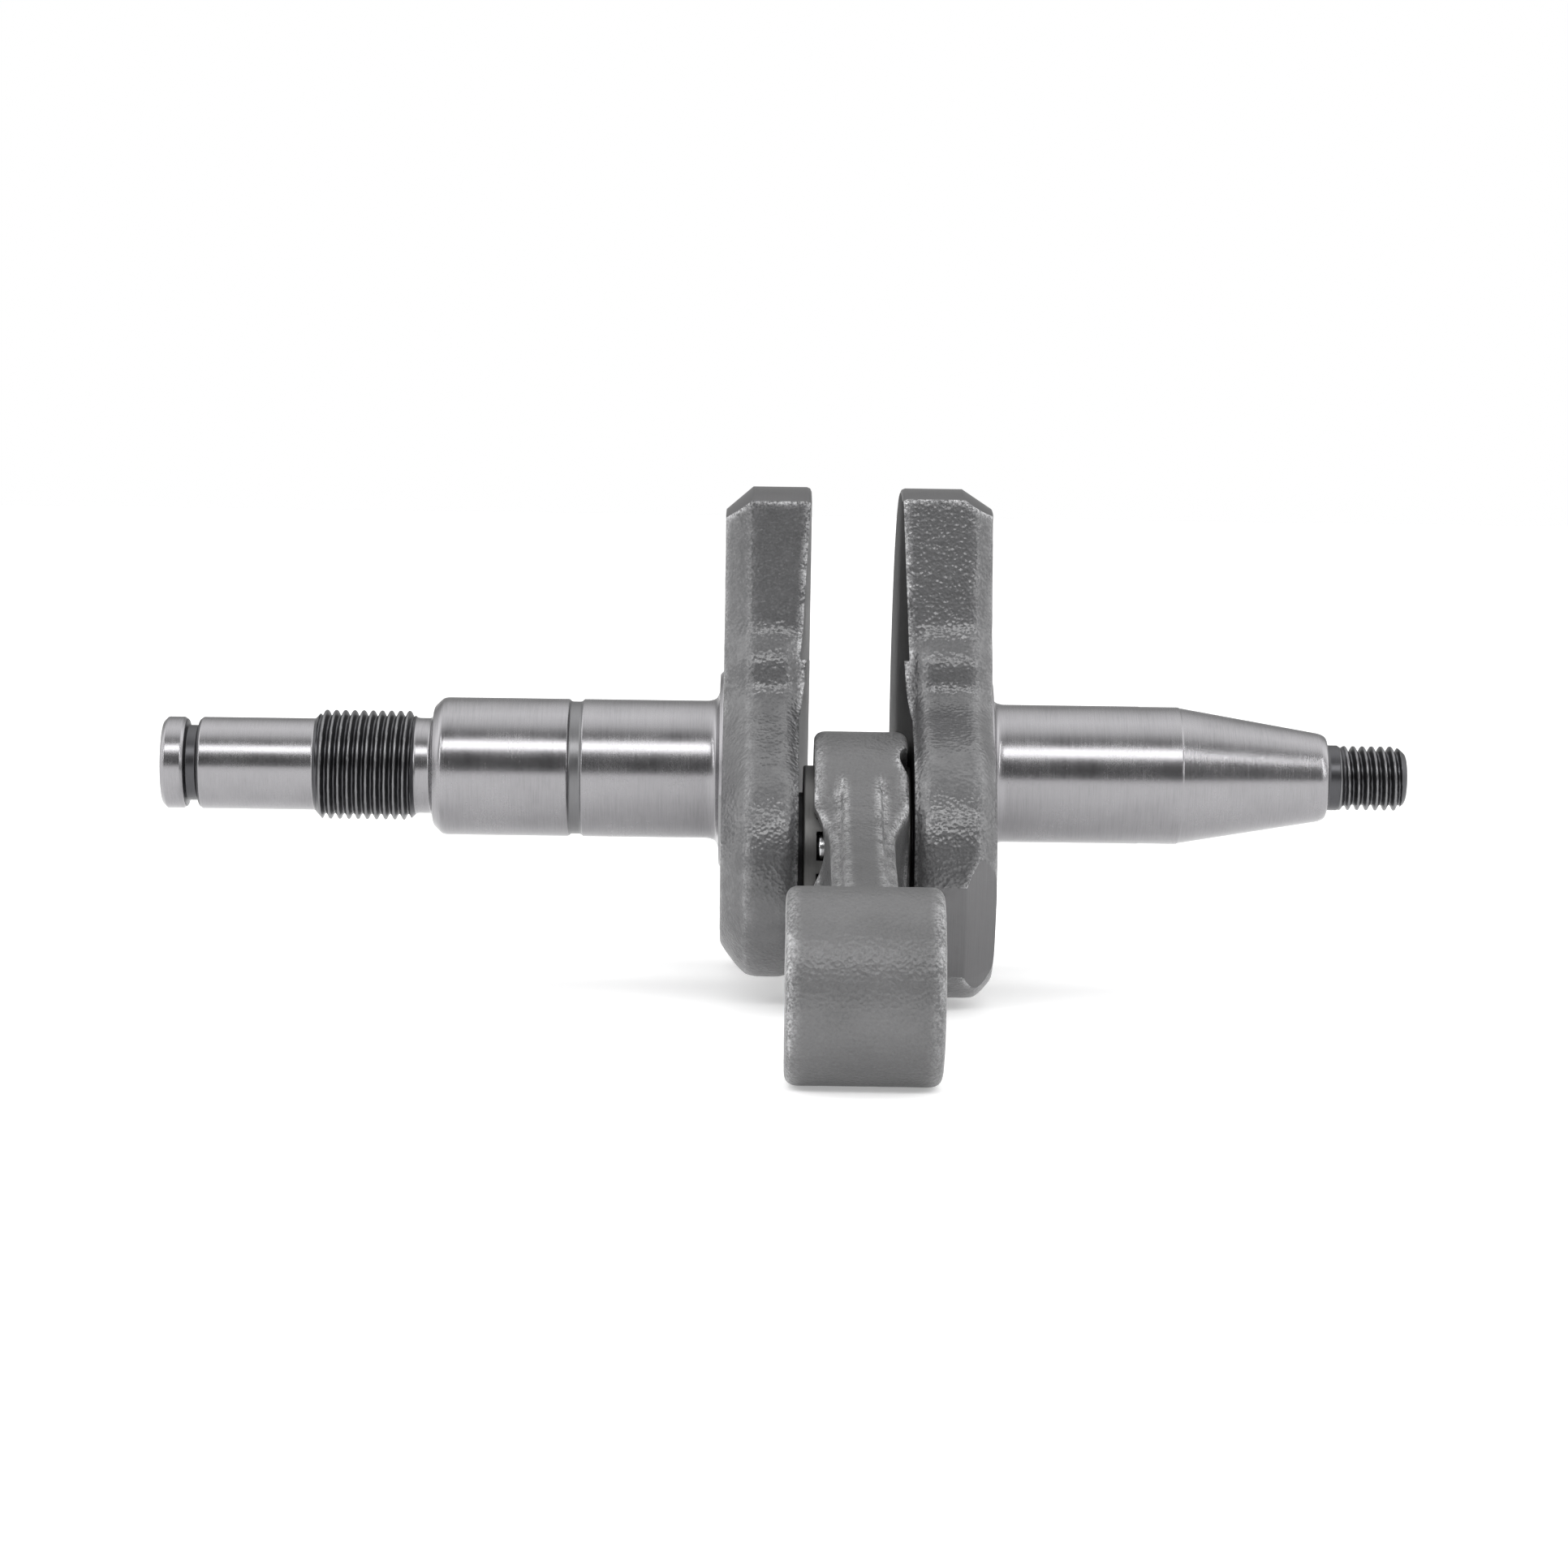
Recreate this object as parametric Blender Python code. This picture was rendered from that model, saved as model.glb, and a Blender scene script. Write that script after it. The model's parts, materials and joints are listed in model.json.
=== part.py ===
"""Built-up crankshaft of a small two-stroke engine, with its one-piece connecting rod.

Frame: +X runs along the shaft from the clutch end to the flywheel end, +Z is up and the
origin is the centre of the clutch-end face. The crankshaft lies on a flat surface: its
counterweight corners and the rod's small end touch it, and the rod points along -Y.

The crank halves are built in web axes: X along the shaft, Y towards the crank pin and Z
across. Two empties carry the angles at which the crank and the rod lie.
"""

import math

import bmesh
import bpy
from mathutils import Matrix, Vector

MM = 0.001

# Pose of the parts as the assembly lies
CRANK_ANGLE = math.radians(180 + 29.0)
ROD_ANGLE = math.radians(180 + 5.6)

# Crank
THROW = 17.0
WEB_RADIUS = 30.9
JOURNAL_RADIUS = 7.5
PIN_RADIUS = 7.0
PRESS_GAP = 0.10
ROD_MIDDLE = 75.5
STEP_AT = 2.0

# Stations along the shaft, from the clutch end
STUB_RADIUS = 5.0
RING_GROOVE = (2.3, 4.0)
RING_GROOVE_RADIUS = 4.1
CLUTCH_THREAD = (16.5, 27.4)
CLUTCH_THREAD_RADIUS = 5.95
CLUTCH_NECK = (27.7, 29.3)
CLUTCH_NECK_RADIUS = 5.2
CLUTCH_JOURNAL_START = 30.7
OIL_GROOVE_AT = 44.9
CLUTCH_WEB = (60.9, 70.1)
CLUTCH_LOBE_FACE = 69.0
FLYWHEEL_WEB = (79.75, 89.6)
FLYWHEEL_LOBE_FACE = 81.0
FLYWHEEL_RELIEF = (106.0, 110.4)
TAPER_END = 125.9
TAPER_RADII = (7.4, 4.75)
FLYWHEEL_THREAD = (127.9, 135.2)
FLYWHEEL_THREAD_RADIUS = 3.5

# Web details
BOSS_RADIUS = 10.8
BOSS_HEIGHT = 0.4
SHOULDER_NECK = (6.99, 13.59)
SHOULDER_EDGE = (4.54, 17.38)
SHOULDER_FOOT = (1.49, 18.66)
SHOULDER_RIM_POINT = (-6.0, 30.3)
SHOULDER_FILLET = 3.0
CLUTCH_LOBE_RADIUS = 12.55
FLYWHEEL_LOBE_RADIUS = 14.5

# Threads, all of 1 mm pitch
PITCH = 1.0
THREAD_DEPTH = 0.58
THREAD_BASE = 0.44
THREAD_CREST = 0.09

# Woodruff keyway in the taper
KEYWAY_AT = 117.5
KEYWAY_WIDTH = 3.0
KEY_DISC_RADIUS = 5.0
KEYWAY_DEPTH = 2.0

# Connecting rod
ROD_LENGTH = 62.1
BIG_END_RADIUS = 13.5
BIG_END_BORE = 10.0
BIG_END_WIDTH = 9.75
SMALL_END_RADIUS = 9.2
SMALL_END_BORE = 7.0
SMALL_END_WIDTH = 14.6
SMALL_END_OFFSET = -0.6
RIDGE_HALF_WIDTH = 1.9

# Needle bearing
ROLLER_COUNT = 14
ROLLER_PITCH_RADIUS = 8.5
ROLLER_RADIUS = 1.45
ROLLER_LENGTH = 8.3
ROLLER_PHASE = math.radians(167.1)
CAGE_RADII = (7.95, 9.85)
CAGE_LENGTH = 11.3
CAGE_MIDDLE = 75.15
POCKET_LENGTH = 8.5
POCKET_HALF_ANGLE = math.radians(10.4)

# Facets around a turn
SHAFT_SIDES = 32
WEB_SIDES = 64
BORE_SIDES = 48
ROLLER_SIDES = 12


def clear_scene():
    for obj in list(bpy.data.objects):
        bpy.data.objects.remove(obj, do_unlink=True)


def steel(name, colour, roughness):
    material = bpy.data.materials.new(name)
    material.use_nodes = True
    shader = material.node_tree.nodes["Principled BSDF"]
    shader.inputs["Base Color"].default_value = (*colour, 1.0)
    shader.inputs["Roughness"].default_value = roughness
    shader.inputs["Metallic"].default_value = 1.0
    return material


def empty(name, location, angle):
    """An empty turned about X, which carries the parts that lie at that angle."""
    obj = bpy.data.objects.new(name, None)
    bpy.context.collection.objects.link(obj)
    obj.location = Vector(location) * MM
    obj.rotation_euler = (angle, 0.0, 0.0)
    return obj


def add_object(name, shape, parent=None, material=None):
    """Turns a bmesh in millimetres into an object in metres."""
    bmesh.ops.recalc_face_normals(shape, faces=shape.faces)
    mesh = bpy.data.meshes.new(name)
    bmesh.ops.scale(shape, vec=(MM, MM, MM), verts=shape.verts)
    shape.to_mesh(mesh)
    shape.free()
    mesh.shade_smooth()
    mesh.set_sharp_from_angle(angle=math.radians(35))
    obj = bpy.data.objects.new(name, mesh)
    bpy.context.collection.objects.link(obj)
    obj.parent = parent
    if material:
        mesh.materials.append(material)
    return obj


def helper(name, shape, parent=None):
    obj = add_object(name, shape, parent)
    obj.hide_render = True
    obj.display_type = "WIRE"
    return obj


def combine(obj, operation, other):
    modifier = obj.modifiers.new(f"{operation.lower()} {other.name}", "BOOLEAN")
    modifier.operation = operation
    modifier.solver = "EXACT"
    modifier.object = other


def on_circle(angle, radius, centre=(0.0, 0.0)):
    return (centre[0] + radius * math.cos(angle), centre[1] + radius * math.sin(angle))


def outside(radius, sides):
    """The corner radius of a polygon whose flats lie on the given circle."""
    return radius / math.cos(math.pi / sides)


def turned(profile, sides):
    """A solid of revolution about X, from (x, radius) points between two flat ends."""
    shape = bmesh.new()
    rings = []
    for x, radius in profile:
        corners = (on_circle(math.tau * i / sides, radius) for i in range(sides))
        rings.append([shape.verts.new((x, y, z)) for y, z in corners])
    for low, high in zip(rings, rings[1:]):
        for i in range(sides):
            j = (i + 1) % sides
            shape.faces.new((low[i], low[j], high[j], high[i]))
    shape.faces.new(rings[0])
    shape.faces.new(rings[-1])
    return shape


def turned_ring(profile, sides):
    """A ring about X, from a closed section of (x, radius) points."""
    shape = bmesh.new()
    rings = []
    for x, radius in profile:
        corners = (on_circle(math.tau * i / sides, radius) for i in range(sides))
        rings.append([shape.verts.new((x, y, z)) for y, z in corners])
    for low, high in zip(rings, rings[1:] + rings[:1]):
        for i in range(sides):
            j = (i + 1) % sides
            shape.faces.new((low[i], low[j], high[j], high[i]))
    return shape


def lofted(sections):
    """A solid through outlines of 3-D points, with a flat end at the first and last."""
    shape = bmesh.new()
    loops = [[shape.verts.new(point) for point in section] for section in sections]
    for low, high in zip(loops, loops[1:]):
        for i in range(len(low)):
            j = (i + 1) % len(low)
            shape.faces.new((low[i], low[j], high[j], high[i]))
    shape.faces.new(loops[0])
    shape.faces.new(loops[-1])
    return shape


def block(low, high):
    shape = bmesh.new()
    bmesh.ops.create_cube(shape, size=1.0)
    size = [b - a for a, b in zip(low, high)]
    middle = [(a + b) / 2 for a, b in zip(low, high)]
    bmesh.ops.scale(shape, vec=size, verts=shape.verts)
    bmesh.ops.translate(shape, vec=middle, verts=shape.verts)
    return shape


def thread_coil(start, end, crest_radius, hand):
    """A helical ridge about X. It rises from nothing and sinks back over half a turn at each end."""
    shape = bmesh.new()
    turns = (end - start) / PITCH - 1.0
    steps = round(turns * SHAFT_SIDES)
    loops = []
    buried = 0.15
    base = crest_radius - THREAD_DEPTH - buried
    widen = THREAD_BASE + 0.06
    for i in range(steps + 1):
        x = start + PITCH / 2 + PITCH * i / SHAFT_SIDES
        angle = hand * math.tau * i / SHAFT_SIDES
        fade = min(1.0, 2 * i / SHAFT_SIDES, 2 * (steps - i) / SHAFT_SIDES)
        crest = crest_radius - (1 - fade) * (THREAD_DEPTH + 0.05)
        section = (
            (x - widen, base),
            (x - THREAD_CREST, crest),
            (x + THREAD_CREST, crest),
            (x + widen, base),
        )
        loops.append([shape.verts.new((at, *on_circle(angle, radius))) for at, radius in section])
    for low, high in zip(loops, loops[1:]):
        for j in range(4):
            k = (j + 1) % 4
            shape.faces.new((low[j], low[k], high[k], high[j]))
    shape.faces.new(loops[0])
    shape.faces.new(loops[-1])
    return shape


def tangent_point(point, centre, radius):
    """Where the tangent from a point beside a circle touches it, on the +Z side."""
    away = Vector(point) - Vector(centre)
    towards = math.atan2(away.y, away.x)
    opening = math.acos(radius / away.length)
    return towards - opening


def rounded_corner(before, corner, after, radius, steps):
    """Points of the arc that rounds a corner between two legs."""
    corner = Vector(corner)
    leg_in = (Vector(before) - corner).normalized()
    leg_out = (Vector(after) - corner).normalized()
    half = leg_in.angle(leg_out) / 2
    centre = corner + (leg_in + leg_out).normalized() * radius / math.sin(half)
    start = corner + leg_in * radius / math.tan(half) - centre
    end = corner + leg_out * radius / math.tan(half) - centre
    return [
        tuple(centre + (start.lerp(end, i / steps)).normalized() * radius)
        for i in range(steps + 1)
    ]


def web_outline(lobe_radius):
    """The web's outline across the shaft, with the rim left to the turned blank. A low shoulder stands
    between the counterweight's flat edge and the hollow beside the crank pin's lobe."""
    centre = (THROW, 0.0)
    touch = tangent_point(SHOULDER_NECK, centre, lobe_radius)
    steps = 12
    half = [on_circle(touch * i / steps, lobe_radius, centre) for i in range(steps + 1)]
    beyond = Vector(SHOULDER_RIM_POINT) + 0.5 * (Vector(SHOULDER_RIM_POINT) - Vector(SHOULDER_FOOT))
    half += rounded_corner(half[-1], SHOULDER_NECK, SHOULDER_EDGE, SHOULDER_FILLET, 5)
    half += [SHOULDER_EDGE, SHOULDER_FOOT, tuple(beyond), (-WEB_RADIUS * 1.3, WEB_RADIUS * 1.1)]
    return half + [(y, -z) for y, z in reversed(half[1:])]


def inset_outline(outline, depth):
    """Each corner moved inwards along the mean of its two sides' normals."""
    moved = []
    for i, point in enumerate(outline):
        before = Vector(point) - Vector(outline[i - 1])
        after = Vector(outline[(i + 1) % len(outline)]) - Vector(point)
        normal = (before.normalized() + after.normalized()).normalized()
        moved.append((point[0] - normal.y * depth, point[1] + normal.x * depth))
    return moved


def web_prism(outline, outer, inner, bevel):
    """The outline extruded along X, with the forging's bevel along its outer edge."""
    side = 1.0 if inner > outer else -1.0
    levels = [
        (outer - side, inset_outline(outline, bevel + 1.0)),
        (outer + side * bevel, outline),
        (inner + side, outline),
    ]
    return lofted([[(x, y, z) for y, z in points] for x, points in levels])


def web(name, outer, inner, lobe_face, lobe_radius, bevel, rim_chamfer, parent):
    """One web: a turned blank cut to the forged outline, with its lobe face set back."""
    side = 1.0 if inner > outer else -1.0
    boss_face = outer - side * BOSS_HEIGHT
    axial, radial = rim_chamfer
    edge = 0.35
    profile = [
        (boss_face, BOSS_RADIUS - 0.4),
        (outer, BOSS_RADIUS),
        (outer, WEB_RADIUS - radial),
        (outer + side * axial, WEB_RADIUS),
        (inner - side * edge, WEB_RADIUS),
        (inner, WEB_RADIUS - edge),
    ]
    blank = helper(f"{name}_blank", turned(profile, WEB_SIDES), parent)
    outline = helper(f"{name}_outline", web_prism(web_outline(lobe_radius), outer, inner, bevel), parent)
    far = inner + side * 2
    low = (min(lobe_face, far), STEP_AT, -2 * WEB_RADIUS)
    high = (max(lobe_face, far), 2 * WEB_RADIUS, 2 * WEB_RADIUS)
    recess = helper(f"{name}_lobe_recess", block(low, high), parent)
    combine(blank, "INTERSECT", outline)
    combine(blank, "DIFFERENCE", recess)
    return blank


def pin_bore(name, parent):
    """The cutter of the bore that the crank pin is pressed into, through both webs."""
    radius = outside(PIN_RADIUS + PRESS_GAP, BORE_SIDES)
    shape = turned([(CLUTCH_WEB[0] - 5, radius), (FLYWHEEL_WEB[1] + 5, radius)], BORE_SIDES)
    bmesh.ops.translate(shape, vec=(0.0, THROW, 0.0), verts=shape.verts)
    return helper(name, shape, parent)


def clutch_shaft_profile():
    groove_low, groove_high = RING_GROOVE
    web_face = CLUTCH_WEB[0] - BOSS_HEIGHT
    root = CLUTCH_THREAD_RADIUS - THREAD_DEPTH
    return [
        (0.0, STUB_RADIUS - 0.5),
        (0.5, STUB_RADIUS),
        (groove_low, STUB_RADIUS),
        (groove_low + 0.3, RING_GROOVE_RADIUS),
        (groove_high - 0.3, RING_GROOVE_RADIUS),
        (groove_high, STUB_RADIUS),
        (CLUTCH_THREAD[0], STUB_RADIUS),
        (CLUTCH_THREAD[0] + 0.4, root),
        (CLUTCH_THREAD[1], root),
        (CLUTCH_NECK[0], CLUTCH_NECK_RADIUS),
        (CLUTCH_NECK[1], CLUTCH_NECK_RADIUS),
        (CLUTCH_NECK[1] + 0.1, 6.4),
        (CLUTCH_JOURNAL_START - 0.4, JOURNAL_RADIUS - 0.1),
        (CLUTCH_JOURNAL_START, JOURNAL_RADIUS),
        (OIL_GROOVE_AT - 0.75, JOURNAL_RADIUS),
        (OIL_GROOVE_AT - 0.3, JOURNAL_RADIUS - 0.3),
        (OIL_GROOVE_AT + 0.3, JOURNAL_RADIUS - 0.3),
        (OIL_GROOVE_AT + 0.75, JOURNAL_RADIUS),
        (web_face - 1.0, JOURNAL_RADIUS),
        (web_face - 0.5, JOURNAL_RADIUS + 0.15),
        (web_face - 0.15, JOURNAL_RADIUS + 0.5),
        (web_face + 0.05, JOURNAL_RADIUS + 1.05),
        (CLUTCH_WEB[1] - 4.0, JOURNAL_RADIUS + 1.05),
    ]


def flywheel_shaft_profile():
    web_face = FLYWHEEL_WEB[1] + BOSS_HEIGHT
    root = FLYWHEEL_THREAD_RADIUS - THREAD_DEPTH
    end = FLYWHEEL_THREAD[1]
    return [
        (FLYWHEEL_WEB[0] + 4.0, JOURNAL_RADIUS + 1.05),
        (web_face - 0.05, JOURNAL_RADIUS + 1.05),
        (web_face + 0.15, JOURNAL_RADIUS + 0.5),
        (web_face + 0.5, JOURNAL_RADIUS + 0.15),
        (web_face + 1.0, JOURNAL_RADIUS),
        (FLYWHEEL_RELIEF[0], JOURNAL_RADIUS),
        (FLYWHEEL_RELIEF[0] + 0.3, JOURNAL_RADIUS - 0.03),
        (FLYWHEEL_RELIEF[1], JOURNAL_RADIUS - 0.03),
        (FLYWHEEL_RELIEF[1] + 0.1, TAPER_RADII[0]),
        (TAPER_END, TAPER_RADII[1]),
        (TAPER_END + 0.45, TAPER_RADII[1] - 0.25),
        (TAPER_END + 0.6, TAPER_RADII[1] - 0.6),
        (TAPER_END + 0.6, FLYWHEEL_THREAD_RADIUS + 0.05),
        (FLYWHEEL_THREAD[0], FLYWHEEL_THREAD_RADIUS + 0.05),
        (FLYWHEEL_THREAD[0] + 0.4, root),
        (end - 0.3, root),
        (end, root - 0.3),
    ]


def clutch_side_crank(parent):
    obj = add_object(
        "clutch_side_crank",
        turned(clutch_shaft_profile(), SHAFT_SIDES),
        parent,
        steel("clutch side forging", (0.36, 0.36, 0.37), 0.34),
    )
    start, end = CLUTCH_THREAD
    coil = helper("clutch_thread", thread_coil(start + 0.2, end + 0.1, CLUTCH_THREAD_RADIUS, -1), parent)
    blank = web("clutch_web", *CLUTCH_WEB, CLUTCH_LOBE_FACE, CLUTCH_LOBE_RADIUS, 3.0, (3.2, 2.8), parent)
    combine(obj, "UNION", coil)
    combine(obj, "UNION", blank)
    combine(obj, "DIFFERENCE", pin_bore("clutch_pin_bore", parent))
    return obj


def keyway(parent):
    """The cutter of the Woodruff keyway, a disc on edge, on the side away from the pin."""
    sides = 40
    slope = (TAPER_RADII[0] - TAPER_RADII[1]) / (TAPER_END - FLYWHEEL_RELIEF[1])
    surface = TAPER_RADII[0] - slope * (KEYWAY_AT - FLYWHEEL_RELIEF[1])
    half = KEYWAY_WIDTH / 2
    centre = (KEYWAY_AT, -(surface - KEYWAY_DEPTH + KEY_DISC_RADIUS))
    corners = [on_circle(math.tau * (i + 0.5) / sides, KEY_DISC_RADIUS, centre) for i in range(sides)]
    shape = lofted([[(x, y, z) for x, y in corners] for z in (-half, half)])
    return helper("keyway_cutter", shape, parent)


def flywheel_side_crank(parent):
    obj = add_object(
        "flywheel_side_crank",
        turned(flywheel_shaft_profile(), SHAFT_SIDES),
        parent,
        steel("flywheel side forging", (0.38, 0.38, 0.39), 0.34),
    )
    start, end = FLYWHEEL_THREAD
    ridge = thread_coil(start + 0.2, end - 0.05, FLYWHEEL_THREAD_RADIUS, 1)
    coil = helper("flywheel_thread", ridge, parent)
    blank = web(
        "flywheel_web",
        *reversed(FLYWHEEL_WEB),
        FLYWHEEL_LOBE_FACE,
        FLYWHEEL_LOBE_RADIUS,
        1.8,
        (3.2, 2.1),
        parent,
    )
    combine(obj, "UNION", coil)
    combine(obj, "UNION", blank)
    combine(obj, "DIFFERENCE", pin_bore("flywheel_pin_bore", parent))
    combine(obj, "DIFFERENCE", keyway(parent))
    return obj


def crank_pin(parent):
    """The pressed pin, a plain hardened cylinder with chamfered ends."""
    low, high = CLUTCH_WEB[0] + 0.3, FLYWHEEL_WEB[1] - 0.3
    chamfer = 0.5
    profile = [
        (low, PIN_RADIUS - chamfer),
        (low + chamfer, PIN_RADIUS),
        (high - chamfer, PIN_RADIUS),
        (high, PIN_RADIUS - chamfer),
    ]
    shape = turned(profile, BORE_SIDES)
    material = steel("ground pin steel", (0.55, 0.55, 0.56), 0.18)
    obj = add_object("crank_pin", shape, parent, material)
    obj.location = (0.0, THROW * MM, 0.0)
    return obj


def shank_section(along, half_height, half_width, recess):
    """A forged I-section: a flat parting ridge on each edge and a recess in each side."""
    flank = half_height - 1.1
    lip = half_height - 2.6
    floor = half_height - 3.5
    upper = [
        (RIDGE_HALF_WIDTH, half_height),
        (half_width, flank),
        (half_width, lip),
        (half_width - recess, floor),
    ]
    right = upper + [(x, -z) for x, z in reversed(upper)]
    left = [(-x, z) for x, z in reversed(right)]
    return [(x, along, z) for x, z in right + left]


def shank():
    """The shank from inside the big end's wall to inside the small end's wall."""
    big = 10.6
    small = ROD_LENGTH - 7.4
    stations = [
        (big, 9.2, 4.8, 0.05),
        (13.4, 8.1, 4.1, 0.05),
        (16.5, 7.15, 3.6, 0.3),
        (20.0, 6.4, 3.4, 1.4),
        (26.0, 5.9, 3.35, 1.7),
        (44.0, 5.2, 3.3, 1.7),
        (47.5, 5.1, 3.4, 1.2),
        (50.5, 5.1, 3.8, 0.3),
        (52.5, 5.4, 4.5, 0.05),
        (small, 5.7, 5.5, 0.05),
    ]
    return lofted([shank_section(*station) for station in stations])


def rod_end(radius, bore, width, edge, sides):
    """A ring about X whose bore has its flats on the bore's circle."""
    half = width / 2
    inner = outside(bore, sides)
    section = [
        (-half, inner + 0.3),
        (-half, radius - edge),
        (-half + 0.3 * edge, radius - 0.3 * edge),
        (-half + edge, radius),
        (half - edge, radius),
        (half - 0.3 * edge, radius - 0.3 * edge),
        (half, radius - edge),
        (half, inner + 0.3),
        (half - 0.3, inner),
        (-half + 0.3, inner),
    ]
    return turned_ring(section, sides)


def oil_slot(name, side, angle, width, depth, parent):
    """A cutter across the big end's side face, at an angle above the rod: a groove with a round floor."""
    radius = (width * width / 4 + depth * depth) / (2 * depth)
    middle = BIG_END_WIDTH / 2 - depth + radius
    rounds = [on_circle(math.tau * i / BORE_SIDES, radius, (middle, 0.0)) for i in range(BORE_SIDES)]
    shape = lofted([[(x, y, z) for x, z in rounds] for y in (8.0, 16.0)])
    if side < 0:
        bmesh.ops.scale(shape, vec=(-1, 1, 1), verts=shape.verts)
    turn = Matrix.Rotation(-math.radians(angle), 3, "X")
    bmesh.ops.transform(shape, matrix=turn.to_4x4(), verts=shape.verts)
    return helper(name, shape, parent)


def connecting_rod(parent):
    obj = add_object(
        "connecting_rod",
        rod_end(BIG_END_RADIUS, BIG_END_BORE, BIG_END_WIDTH, 0.9, BORE_SIDES),
        parent,
        steel("rod forging", (0.33, 0.33, 0.34), 0.42),
    )
    eye_shape = rod_end(SMALL_END_RADIUS, SMALL_END_BORE, SMALL_END_WIDTH, 1.1, BORE_SIDES)
    bmesh.ops.translate(eye_shape, vec=(SMALL_END_OFFSET, ROD_LENGTH, 0.0), verts=eye_shape.verts)
    combine(obj, "UNION", helper("rod_shank", shank(), parent))
    combine(obj, "UNION", helper("rod_small_end", eye_shape, parent))
    combine(obj, "DIFFERENCE", oil_slot("slot_clutch_side", -1, 16.5, 8.0, 1.1, parent))
    combine(obj, "DIFFERENCE", oil_slot("slot_flywheel_side", 1, 64.0, 5.0, 0.9, parent))
    return obj


def cage_columns():
    """Angles around the cage, and whether the cell after each one is part of a pocket."""
    columns = []
    pitch = math.tau / ROLLER_COUNT
    for i in range(ROLLER_COUNT):
        middle = ROLLER_PHASE + i * pitch
        for j in range(4):
            columns.append((middle + POCKET_HALF_ANGLE * (j / 2 - 1), True))
        columns.append((middle + POCKET_HALF_ANGLE, False))
    return columns


def needle_cage(parent):
    """A cage with one window for each needle, made of cells between three X bands."""
    half = CAGE_LENGTH / 2
    bands = (-half, -POCKET_LENGTH / 2, POCKET_LENGTH / 2, half)
    columns = cage_columns()
    count = len(columns)
    shape = bmesh.new()
    corners = {}

    def corner(band, column, wall):
        key = (band, column % count, wall)
        if key not in corners:
            angle = columns[column % count][0]
            y, z = on_circle(angle, CAGE_RADII[wall])
            corners[key] = shape.verts.new((bands[band], y, z))
        return corners[key]

    def solid(band, column):
        return band in (0, 2) or (band == 1 and not columns[column % count][1])

    for band in range(3):
        for column in range(count):
            if not solid(band, column):
                continue
            for wall in (0, 1):
                shape.faces.new((
                    corner(band, column, wall),
                    corner(band, column + 1, wall),
                    corner(band + 1, column + 1, wall),
                    corner(band + 1, column, wall),
                ))
            for edge_band, beyond in ((band, band - 1), (band + 1, band + 1)):
                if not 0 <= beyond <= 2 or not solid(beyond, column):
                    shape.faces.new((
                        corner(edge_band, column, 0),
                        corner(edge_band, column + 1, 0),
                        corner(edge_band, column + 1, 1),
                        corner(edge_band, column, 1),
                    ))
            for edge_column, beyond in ((column, column - 1), (column + 1, column + 1)):
                if not solid(band, beyond):
                    shape.faces.new((
                        corner(band, edge_column, 0),
                        corner(band + 1, edge_column, 0),
                        corner(band + 1, edge_column, 1),
                        corner(band, edge_column, 1),
                    ))
    return add_object("needle_cage", shape, parent, steel("cage steel", (0.42, 0.41, 0.40), 0.3))


def needle_rollers(parent):
    """The needles, each about its own axis, which share one mesh."""
    half = ROLLER_LENGTH / 2
    chamfer = 0.25
    profile = [
        (-half, ROLLER_RADIUS - chamfer),
        (-half + chamfer, ROLLER_RADIUS),
        (half - chamfer, ROLLER_RADIUS),
        (half, ROLLER_RADIUS - chamfer),
    ]
    first = add_object(
        "needle_roller_01",
        turned(profile, ROLLER_SIDES),
        parent,
        steel("bearing steel", (0.62, 0.62, 0.63), 0.12),
    )
    for i in range(ROLLER_COUNT):
        roller = first
        if i:
            roller = bpy.data.objects.new(f"needle_roller_{i + 1:02d}", first.data)
            bpy.context.collection.objects.link(roller)
            roller.parent = parent
        angle = ROLLER_PHASE + i * math.tau / ROLLER_COUNT
        y, z = on_circle(angle, ROLLER_PITCH_RADIUS)
        roller.location = (0.0, y * MM, z * MM)


def main():
    clear_scene()
    pin_y, pin_z = on_circle(CRANK_ANGLE, THROW)
    crank_axes = empty("crank_axes", (0.0, 0.0, 0.0), CRANK_ANGLE)
    rod_axes = empty("rod_axes", (ROD_MIDDLE, pin_y, pin_z), ROD_ANGLE)
    bearing_axes = empty("bearing_axes", (CAGE_MIDDLE, pin_y, pin_z), 0.0)
    clutch_side_crank(crank_axes)
    flywheel_side_crank(crank_axes)
    crank_pin(crank_axes)
    connecting_rod(rod_axes)
    needle_cage(bearing_axes)
    needle_rollers(bearing_axes)


main()
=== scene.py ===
import json
import math

import bmesh
import bpy
import numpy as np
from mathutils import Matrix, Vector, noise


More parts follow.
